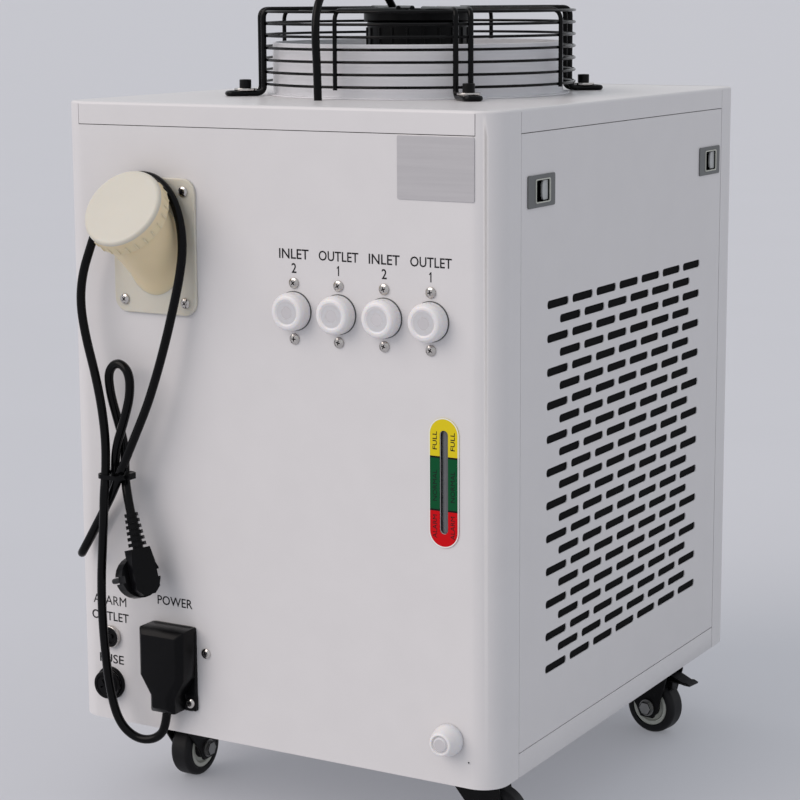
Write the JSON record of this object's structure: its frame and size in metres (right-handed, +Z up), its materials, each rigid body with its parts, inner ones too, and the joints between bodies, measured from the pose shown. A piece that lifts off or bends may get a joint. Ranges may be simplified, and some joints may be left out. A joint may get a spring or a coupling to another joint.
{
  "type": "industrial water chiller",
  "caption": "Portable industrial water chiller: sheet metal cabinet on casters with slotted side grilles, top fan in a wire guard, tilted filler, capped water ports, level gauge and power cord.",
  "frame": {"origin": "on the floor, under the centre of the cabinet's footprint", "axes": "+Z up; -Y out of the connection panel; +X out of the right side panel"},
  "size_m": [0.4121, 0.5417, 0.687],
  "materials": {
    "black_plastic": "moulded",
    "blade_paint": "satin",
    "brass_fitting": "turned",
    "cable_rubber": "smooth",
    "cast_black": "satin",
    "clear_tube": "clear",
    "cream_plastic": "moulded",
    "dark_steel": "black oxide",
    "filter_foam": "open foam",
    "fin_aluminium": "mill",
    "grey_plastic": "satin",
    "guard_wire": "satin black",
    "motor_paint": "satin",
    "painted_ring": "satin",
    "painted_sheet": "fine textured powder coat",
    "pale_plastic": "satin",
    "plated_steel": "bright plated",
    "tank_plastic": "translucent white",
    "tyre_rubber": "smooth",
    "white_plastic": "moulded",
    "yellow_plastic": "printed film"
  },
  "bodies": {
    "cabinet": {"alarm_socket": "black_plastic", "base_pan": "painted_sheet", "cable_tie": "black_plastic", "caster_plates": "dark_steel", "compressor": "cast_black", "condenser": "fin_aluminium", "drain_fitting": "plated_steel", "electrical_box": "painted_ring", "fan_cable": "cable_rubber", "fan_guard": "guard_wire", "fan_motor": "motor_paint", "fan_ring": "painted_ring", "filler_neck": "cream_plastic", "front_panel": "painted_sheet", "fuse_holder": "black_plastic", "guard_bolts": "dark_steel", "level_bezel": "yellow_plastic", "level_tube": "clear_tube", "mains_plug": "black_plastic", "panel_screws": "plated_steel", "port_fittings": "brass_fitting", "power_cord": "cable_rubber", "power_cover": "black_plastic", "power_inlet": "black_plastic", "pump": "cast_black", "rear_panel": "painted_sheet", "temperature_controller": "black_plastic", "top_cover": "painted_sheet", "water_tank": "tank_plastic"},
    "filler_cap": {"filler_cap": "cream_plastic"},
    "drain_cap": {"drain_cap": "white_plastic"},
    "fuse_carrier": {"fuse_cap": "black_plastic"},
    "fan_rotor": {"fan_rotor": "blade_paint"},
    "side_panel_right": {"side_panel_right": "painted_sheet", "dust_filter_right": "filter_foam", "latch_bezels_right": "grey_plastic"},
    "side_panel_left": {"side_panel_left": "painted_sheet", "dust_filter_left": "filter_foam", "latch_bezels_left": "grey_plastic"},
    "port_cap_1": {"port_cap_1": "white_plastic"},
    "port_cap_2": {"port_cap_2": "white_plastic"},
    "port_cap_3": {"port_cap_3": "white_plastic"},
    "port_cap_4": {"port_cap_4": "white_plastic"},
    "rear_latch_right": {"rear_latch_lever_right": "pale_plastic"},
    "front_latch_right": {"front_latch_lever_right": "pale_plastic"},
    "rear_latch_left": {"rear_latch_lever_left": "pale_plastic"},
    "front_latch_left": {"front_latch_lever_left": "pale_plastic"},
    "fork_rear_left": {"fork_rear_left": "dark_steel"},
    "wheel_rear_left": {"wheel_rear_left": "tyre_rubber"},
    "fork_rear_right": {"fork_rear_right": "dark_steel"},
    "wheel_rear_right": {"wheel_rear_right": "tyre_rubber"},
    "fork_front_left": {"fork_front_left": "dark_steel"},
    "wheel_front_left": {"wheel_front_left": "tyre_rubber"},
    "brake_front_left": {"brake_pedal_front_left": "dark_steel"},
    "fork_front_right": {"fork_front_right": "dark_steel"},
    "wheel_front_right": {"wheel_front_right": "tyre_rubber"},
    "brake_front_right": {"brake_pedal_front_right": "dark_steel"}
  },
  "joints": [
    {"name": "fan_spin", "type": "hinge", "parent": "cabinet", "child": "fan_rotor", "pos_m": [0, 0, 0.632], "axis": [0, 0, 1], "continuous": true},
    {"name": "filler_cap_pull", "type": "slide", "parent": "cabinet", "child": "filler_cap", "axis": [0, -0.809, 0.5878], "range_m": [0, 0.07]},
    {"name": "port_cap_1_pull", "type": "slide", "parent": "cabinet", "child": "port_cap_1", "axis": [0, -1, 0], "range_m": [0, 0.06]},
    {"name": "port_cap_2_pull", "type": "slide", "parent": "cabinet", "child": "port_cap_2", "axis": [0, -1, 0], "range_m": [0, 0.06]},
    {"name": "port_cap_3_pull", "type": "slide", "parent": "cabinet", "child": "port_cap_3", "axis": [0, -1, 0], "range_m": [0, 0.06]},
    {"name": "port_cap_4_pull", "type": "slide", "parent": "cabinet", "child": "port_cap_4", "axis": [0, -1, 0], "range_m": [0, 0.06]},
    {"name": "drain_cap_pull", "type": "slide", "parent": "cabinet", "child": "drain_cap", "axis": [0, -1, 0], "range_m": [0, 0.06]},
    {"name": "fuse_cap_pull", "type": "slide", "parent": "cabinet", "child": "fuse_carrier", "axis": [0, -1, 0], "range_m": [0, 0.03]},
    {"name": "side_panel_right_lift_off", "type": "slide", "parent": "cabinet", "child": "side_panel_right", "axis": [1, 0, 0], "range_m": [0, 0.12]},
    {"name": "side_panel_left_lift_off", "type": "slide", "parent": "cabinet", "child": "side_panel_left", "axis": [-1, 0, 0], "range_m": [0, 0.12]},
    {"name": "rear_latch_right_slide", "type": "slide", "parent": "side_panel_right", "child": "rear_latch_right", "axis": [0, -1, 0], "range_m": [0, 0.01], "stiffness_N_per_m": 200},
    {"name": "front_latch_right_slide", "type": "slide", "parent": "side_panel_right", "child": "front_latch_right", "axis": [0, -1, 0], "range_m": [0, 0.01], "stiffness_N_per_m": 200},
    {"name": "rear_latch_left_slide", "type": "slide", "parent": "side_panel_left", "child": "rear_latch_left", "axis": [0, -1, 0], "range_m": [0, 0.01], "stiffness_N_per_m": 200},
    {"name": "front_latch_left_slide", "type": "slide", "parent": "side_panel_left", "child": "front_latch_left", "axis": [0, -1, 0], "range_m": [0, 0.01], "stiffness_N_per_m": 200},
    {"name": "swivel_rear_left", "type": "hinge", "parent": "cabinet", "child": "fork_rear_left", "pos_m": [-0.143, -0.1695, 0.06], "axis": [0, 0, 1], "continuous": true},
    {"name": "roll_rear_left", "type": "hinge", "parent": "fork_rear_left", "child": "wheel_rear_left", "pos_m": [-0.143, -0.1485, 0.025], "axis": [-1, 0, 0], "continuous": true},
    {"name": "swivel_rear_right", "type": "hinge", "parent": "cabinet", "child": "fork_rear_right", "pos_m": [0.143, -0.1695, 0.06], "axis": [0, 0, 1], "continuous": true},
    {"name": "roll_rear_right", "type": "hinge", "parent": "fork_rear_right", "child": "wheel_rear_right", "pos_m": [0.1638, -0.16658, 0.025], "axis": [-0.1392, 0.9903, 0], "continuous": true},
    {"name": "swivel_front_left", "type": "hinge", "parent": "cabinet", "child": "fork_front_left", "pos_m": [-0.143, 0.1555, 0.06], "axis": [0, 0, 1], "continuous": true},
    {"name": "roll_front_left", "type": "hinge", "parent": "fork_front_left", "child": "wheel_front_left", "pos_m": [-0.13314, 0.17404, 0.025], "axis": [-0.8829, 0.4695, 0], "continuous": true},
    {"name": "brake_front_left_press", "type": "hinge", "parent": "fork_front_left", "child": "brake_front_left", "pos_m": [-0.12751, 0.18464, 0.056], "axis": [-0.8829, 0.4695, 0], "range_deg": [0, 12], "stiffness_Nm_per_rad": 1},
    {"name": "swivel_front_right", "type": "hinge", "parent": "cabinet", "child": "fork_front_right", "pos_m": [0.143, 0.1555, 0.06], "axis": [0, 0, 1], "continuous": true},
    {"name": "roll_front_right", "type": "hinge", "parent": "fork_front_right", "child": "wheel_front_right", "pos_m": [0.16374, 0.15221, 0.025], "axis": [0.1564, 0.9877, 0], "continuous": true},
    {"name": "brake_front_right_press", "type": "hinge", "parent": "fork_front_right", "child": "brake_front_right", "pos_m": [0.17559, 0.15034, 0.056], "axis": [0.1564, 0.9877, 0], "range_deg": [0, 12], "stiffness_Nm_per_rad": 1}
  ]
}
